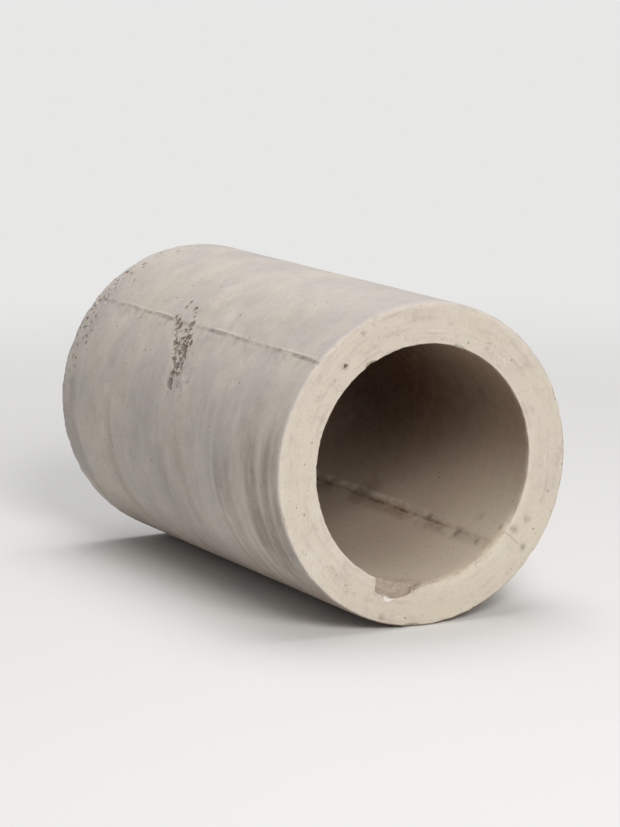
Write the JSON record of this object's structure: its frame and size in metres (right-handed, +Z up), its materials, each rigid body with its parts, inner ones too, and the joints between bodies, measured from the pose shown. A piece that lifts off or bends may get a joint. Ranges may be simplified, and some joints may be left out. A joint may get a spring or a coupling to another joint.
{
  "type": "concrete sewer pipe",
  "caption": "Straight butt-ended concrete drain pipe with a plain round bore, flat ends, mould seams and chipped arrises.",
  "frame": {"origin": "on the floor under the middle of the pipe, as it lies on its side", "axes": "+Y along the pipe's axis from the front end to the back end, +Z up, +X across"},
  "size_m": [0.626, 1, 0.626],
  "materials": {
    "concrete": "matt cast concrete"
  },
  "bodies": {
    "root": {"pipe_barrel": "concrete"}
  },
  "joints": []
}
